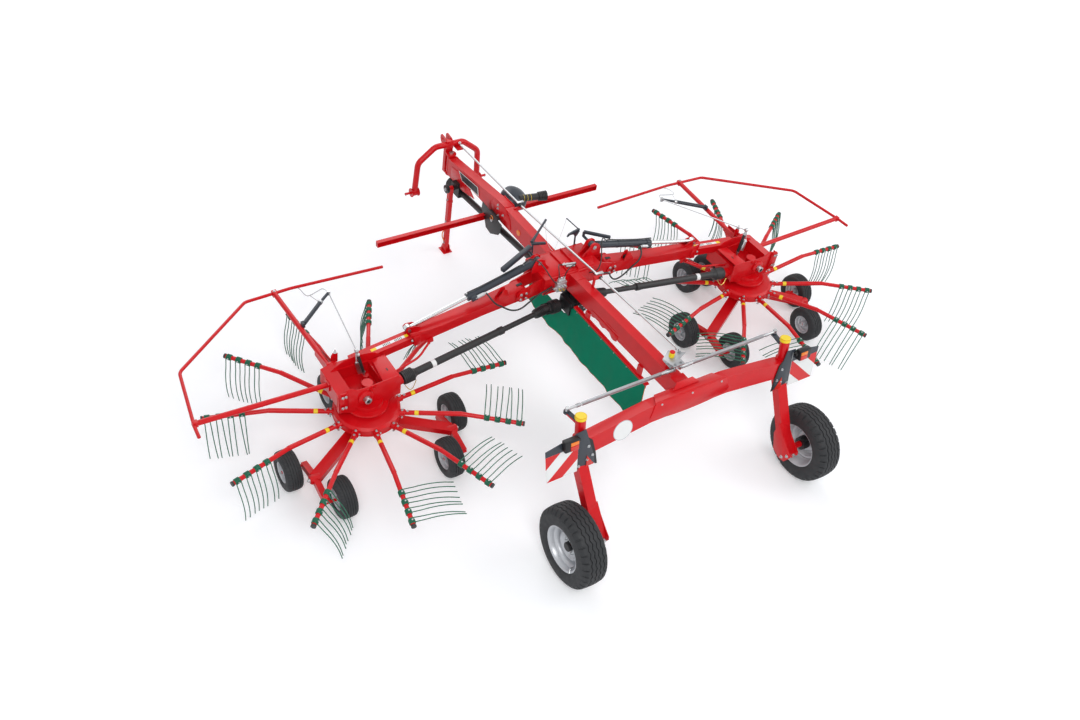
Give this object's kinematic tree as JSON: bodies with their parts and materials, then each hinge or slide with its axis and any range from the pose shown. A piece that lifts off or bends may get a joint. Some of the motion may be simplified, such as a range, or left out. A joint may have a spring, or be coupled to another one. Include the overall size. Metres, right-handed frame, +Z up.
{
  "type": "twin rotor hay rake",
  "caption": "Towed centre-delivery rotary hay rake with two folding tined rotors, a green swath curtain and a steered rear transport axle.",
  "frame": {"origin": "on the ground, in the middle of the machine's length and width", "axes": "+X to the machine's right, +Y forward in the direction of travel, +Z up"},
  "size_m": [7.704, 5.31, 1.486],
  "materials": {
    "red_paint": "gloss",
    "dark_paint": "satin",
    "galvanised": "satin",
    "rim_silver": "satin",
    "spring_steel": "satin",
    "tyre_rubber": "matte",
    "black_plastic": "matte",
    "board_white": "gloss",
    "lamp_plastic": "gloss",
    "curtain_green": "matte",
    "chrome_rod": "polished",
    "light_steel": "satin"
  },
  "bodies": {
    "frame": {"rear_beam": "red_paint", "front_beam": "red_paint", "cross_member": "red_paint", "input_bearing": "dark_paint", "drive_tube": "black_plastic", "centre_gearbox": "dark_paint", "front_bar": "red_paint", "leg_bracket": "dark_paint", "curtain_rail": "red_paint", "swath_curtain": "curtain_green", "rear_axle": "red_paint", "axle_cover": "red_paint", "board_brackets": "dark_paint", "warning_boards": "board_white", "rear_lamps": "lamp_plastic"},
    "headstock": {"headstock": "red_paint"},
    "parking_leg": {"parking_leg": "red_paint"},
    "steer_crank": {"steer_crank": "light_steel"},
    "steering_rod": {"steering_rod": "light_steel"},
    "steered_leg_left": {"steered_leg_left": "red_paint"},
    "transport_wheel_left": {"transport_tyre_left": "tyre_rubber", "transport_rim_left": "rim_silver"},
    "tie_rod_left": {"tie_rod_left": "light_steel"},
    "arm_left": {"arm_left": "red_paint"},
    "lift_barrel_left": {"lift_barrel_left": "dark_paint"},
    "lift_rod_left": {"lift_rod_left": "chrome_rod"},
    "rotor_carrier_left": {"rotor_head_left": "red_paint", "rotor_frame_left": "red_paint", "guard_left": "red_paint"},
    "inner_shaft_left": {"inner_shaft_left": "black_plastic"},
    "outer_shaft_left": {"outer_shaft_left": "black_plastic"},
    "rotor_left": {"rotor_hub_left": "red_paint", "rotor_tines_left": "spring_steel"},
    "wheel_inner_front_left": {"wheel_inner_front_left": "tyre_rubber"},
    "wheel_inner_rear_left": {"wheel_inner_rear_left": "tyre_rubber"},
    "wheel_outer_front_left": {"wheel_outer_front_left": "tyre_rubber"},
    "wheel_outer_rear_left": {"wheel_outer_rear_left": "tyre_rubber"},
    "wheel_twin_left": {"wheel_twin_left": "tyre_rubber"},
    "steered_leg_right": {"steered_leg_right": "red_paint"},
    "transport_wheel_right": {"transport_tyre_right": "tyre_rubber", "transport_rim_right": "rim_silver"},
    "tie_rod_right": {"tie_rod_right": "light_steel"},
    "arm_right": {"arm_right": "red_paint"},
    "lift_barrel_right": {"lift_barrel_right": "dark_paint"},
    "lift_rod_right": {"lift_rod_right": "chrome_rod"},
    "rotor_carrier_right": {"rotor_head_right": "red_paint", "rotor_frame_right": "red_paint", "guard_right": "red_paint"},
    "inner_shaft_right": {"inner_shaft_right": "black_plastic"},
    "outer_shaft_right": {"outer_shaft_right": "black_plastic"},
    "rotor_right": {"rotor_hub_right": "red_paint", "rotor_tines_right": "spring_steel"},
    "wheel_inner_front_right": {"wheel_inner_front_right": "tyre_rubber"},
    "wheel_inner_rear_right": {"wheel_inner_rear_right": "tyre_rubber"},
    "wheel_outer_front_right": {"wheel_outer_front_right": "tyre_rubber"},
    "wheel_outer_rear_right": {"wheel_outer_rear_right": "tyre_rubber"},
    "wheel_twin_right": {"wheel_twin_right": "tyre_rubber"}
  },
  "joints": [
    {"name": "headstock_turn", "type": "hinge", "parent": "frame", "child": "headstock", "pos_m": [0, 2.46, 0.98], "axis": [0, 0, 1], "range_deg": [-28, 28]},
    {"name": "parking_leg_swing", "type": "hinge", "parent": "frame", "child": "parking_leg", "pos_m": [-0.15, 2.172, 0.871], "axis": [-1, 0, 0], "range_deg": [0, 77]},
    {"name": "crank_turn", "type": "hinge", "parent": "frame", "child": "steer_crank", "pos_m": [0, -1.535, 1.42], "axis": [0, 0, 1], "range_deg": [-28, 28]},
    {"name": "steering_rod_slide", "type": "slide", "parent": "frame", "child": "steering_rod", "axis": [0, 0.9975, -0.071], "range_m": [-0.0515, 0.0515]},
    {"name": "steering_left", "type": "hinge", "parent": "frame", "child": "steered_leg_left", "pos_m": [-1.155, -1.8495, 1.13], "axis": [0, 0.1822, 0.9833], "range_deg": [-16.89, 16.89]},
    {"name": "transport_wheel_spin_left", "type": "hinge", "parent": "steered_leg_left", "child": "transport_wheel_left", "pos_m": [-1.37, -2.275, 0.38], "axis": [1, 0, 0], "continuous": true},
    {"name": "tie_rod_swing_left", "type": "hinge", "parent": "steer_crank", "child": "tie_rod_left", "pos_m": [-0.032, -1.638, 1.372], "axis": [0, 0, 1], "range_deg": [-28, 28]},
    {"name": "arm_lift_left", "type": "hinge", "parent": "frame", "child": "arm_left", "pos_m": [-0.532, 0.145, 1.078], "axis": [0, 1, 0], "range_deg": [0, 88]},
    {"name": "arm_slide_left", "type": "slide", "parent": "arm_left", "child": "rotor_carrier_left", "axis": [-0.989, 0, -0.1478], "range_m": [-0.25, 0]},
    {"name": "lift_barrel_swing_left", "type": "hinge", "parent": "frame", "child": "lift_barrel_left", "pos_m": [-0.325, 0.185, 1.354], "axis": [0, 1, 0], "range_deg": [0, 84.53]},
    {"name": "lift_rod_slide_left", "type": "slide", "parent": "lift_barrel_left", "child": "lift_rod_left", "axis": [-0.967, 0, -0.2548], "range_m": [-0.475, 0]},
    {"name": "shaft_swing_left", "type": "hinge", "parent": "frame", "child": "inner_shaft_left", "pos_m": [-0.3, -0.025, 0.885], "axis": [0, 1, 0], "range_deg": [0, 74.17]},
    {"name": "shaft_slide_left", "type": "slide", "parent": "inner_shaft_left", "child": "outer_shaft_left", "axis": [-0.9921, -0.0842, -0.0932], "range_m": [-0.25, 0]},
    {"name": "rotor_spin_left", "type": "hinge", "parent": "rotor_carrier_left", "child": "rotor_left", "pos_m": [-2.305, -0.185, 0.52], "axis": [0, 0, 1], "continuous": true},
    {"name": "wheel_inner_front_spin_left", "type": "hinge", "parent": "rotor_carrier_left", "child": "wheel_inner_front_left", "pos_m": [-1.448, -0.306, 0.195], "axis": [1, 0, 0], "continuous": true},
    {"name": "wheel_inner_rear_spin_left", "type": "hinge", "parent": "rotor_carrier_left", "child": "wheel_inner_rear_left", "pos_m": [-1.748, -0.8, 0.195], "axis": [1, 0, 0], "continuous": true},
    {"name": "wheel_outer_front_spin_left", "type": "hinge", "parent": "rotor_carrier_left", "child": "wheel_outer_front_left", "pos_m": [-3.127, -0.306, 0.195], "axis": [1, 0, 0], "continuous": true},
    {"name": "wheel_outer_rear_spin_left", "type": "hinge", "parent": "rotor_carrier_left", "child": "wheel_outer_rear_left", "pos_m": [-2.827, -0.8, 0.195], "axis": [1, 0, 0], "continuous": true},
    {"name": "wheel_twin_spin_left", "type": "hinge", "parent": "rotor_carrier_left", "child": "wheel_twin_left", "pos_m": [-2.222, 0.437, 0.195], "axis": [1, 0, 0], "continuous": true},
    {"name": "steering_right", "type": "hinge", "parent": "frame", "child": "steered_leg_right", "pos_m": [1.155, -1.8495, 1.13], "axis": [0, 0.1822, 0.9833], "range_deg": [-16.89, 16.89]},
    {"name": "transport_wheel_spin_right", "type": "hinge", "parent": "steered_leg_right", "child": "transport_wheel_right", "pos_m": [1.37, -2.275, 0.38], "axis": [1, 0, 0], "continuous": true},
    {"name": "tie_rod_swing_right", "type": "hinge", "parent": "steer_crank", "child": "tie_rod_right", "pos_m": [0.032, -1.638, 1.372], "axis": [0, 0, 1], "range_deg": [-28, 28]},
    {"name": "arm_lift_right", "type": "hinge", "parent": "frame", "child": "arm_right", "pos_m": [0.532, 0.145, 1.078], "axis": [0, -1, 0], "range_deg": [0, 88]},
    {"name": "arm_slide_right", "type": "slide", "parent": "arm_right", "child": "rotor_carrier_right", "axis": [0.989, 0, -0.1478], "range_m": [-0.25, 0]},
    {"name": "lift_barrel_swing_right", "type": "hinge", "parent": "frame", "child": "lift_barrel_right", "pos_m": [0.325, 0.185, 1.354], "axis": [0, -1, 0], "range_deg": [0, 84.53]},
    {"name": "lift_rod_slide_right", "type": "slide", "parent": "lift_barrel_right", "child": "lift_rod_right", "axis": [0.967, 0, -0.2548], "range_m": [-0.475, 0]},
    {"name": "shaft_swing_right", "type": "hinge", "parent": "frame", "child": "inner_shaft_right", "pos_m": [0.3, -0.025, 0.885], "axis": [0, -1, 0], "range_deg": [0, 74.17]},
    {"name": "shaft_slide_right", "type": "slide", "parent": "inner_shaft_right", "child": "outer_shaft_right", "axis": [0.9921, -0.0842, -0.0932], "range_m": [-0.25, 0]},
    {"name": "rotor_spin_right", "type": "hinge", "parent": "rotor_carrier_right", "child": "rotor_right", "pos_m": [2.305, -0.185, 0.52], "axis": [0, 0, 1], "continuous": true},
    {"name": "wheel_inner_front_spin_right", "type": "hinge", "parent": "rotor_carrier_right", "child": "wheel_inner_front_right", "pos_m": [1.448, -0.306, 0.195], "axis": [1, 0, 0], "continuous": true},
    {"name": "wheel_inner_rear_spin_right", "type": "hinge", "parent": "rotor_carrier_right", "child": "wheel_inner_rear_right", "pos_m": [1.748, -0.8, 0.195], "axis": [1, 0, 0], "continuous": true},
    {"name": "wheel_outer_front_spin_right", "type": "hinge", "parent": "rotor_carrier_right", "child": "wheel_outer_front_right", "pos_m": [3.127, -0.306, 0.195], "axis": [1, 0, 0], "continuous": true},
    {"name": "wheel_outer_rear_spin_right", "type": "hinge", "parent": "rotor_carrier_right", "child": "wheel_outer_rear_right", "pos_m": [2.827, -0.8, 0.195], "axis": [1, 0, 0], "continuous": true},
    {"name": "wheel_twin_spin_right", "type": "hinge", "parent": "rotor_carrier_right", "child": "wheel_twin_right", "pos_m": [2.222, 0.437, 0.195], "axis": [1, 0, 0], "continuous": true}
  ],
  "couplings": [
    {"joint": "crank_turn", "follows": "headstock_turn", "ratio": 1},
    {"joint": "steering_rod_slide", "follows": "headstock_turn", "m_per_rad": 0.103},
    {"joint": "steering_left", "follows": "headstock_turn", "ratio": -0.59619},
    {"joint": "tie_rod_swing_left", "follows": "headstock_turn", "ratio": -1},
    {"joint": "lift_barrel_swing_left", "follows": "arm_lift_left", "ratio": 0.95715},
    {"joint": "lift_rod_slide_left", "follows": "arm_lift_left", "m_per_rad": -0.30795},
    {"joint": "shaft_swing_left", "follows": "arm_lift_left", "ratio": 0.83946},
    {"joint": "shaft_slide_left", "follows": "arm_slide_left", "ratio": 1},
    {"joint": "steering_right", "follows": "headstock_turn", "ratio": -0.59619},
    {"joint": "tie_rod_swing_right", "follows": "headstock_turn", "ratio": -1},
    {"joint": "lift_barrel_swing_right", "follows": "arm_lift_right", "ratio": 0.95715},
    {"joint": "lift_rod_slide_right", "follows": "arm_lift_right", "m_per_rad": -0.30795},
    {"joint": "shaft_swing_right", "follows": "arm_lift_right", "ratio": 0.83946},
    {"joint": "shaft_slide_right", "follows": "arm_slide_right", "ratio": 1}
  ]
}
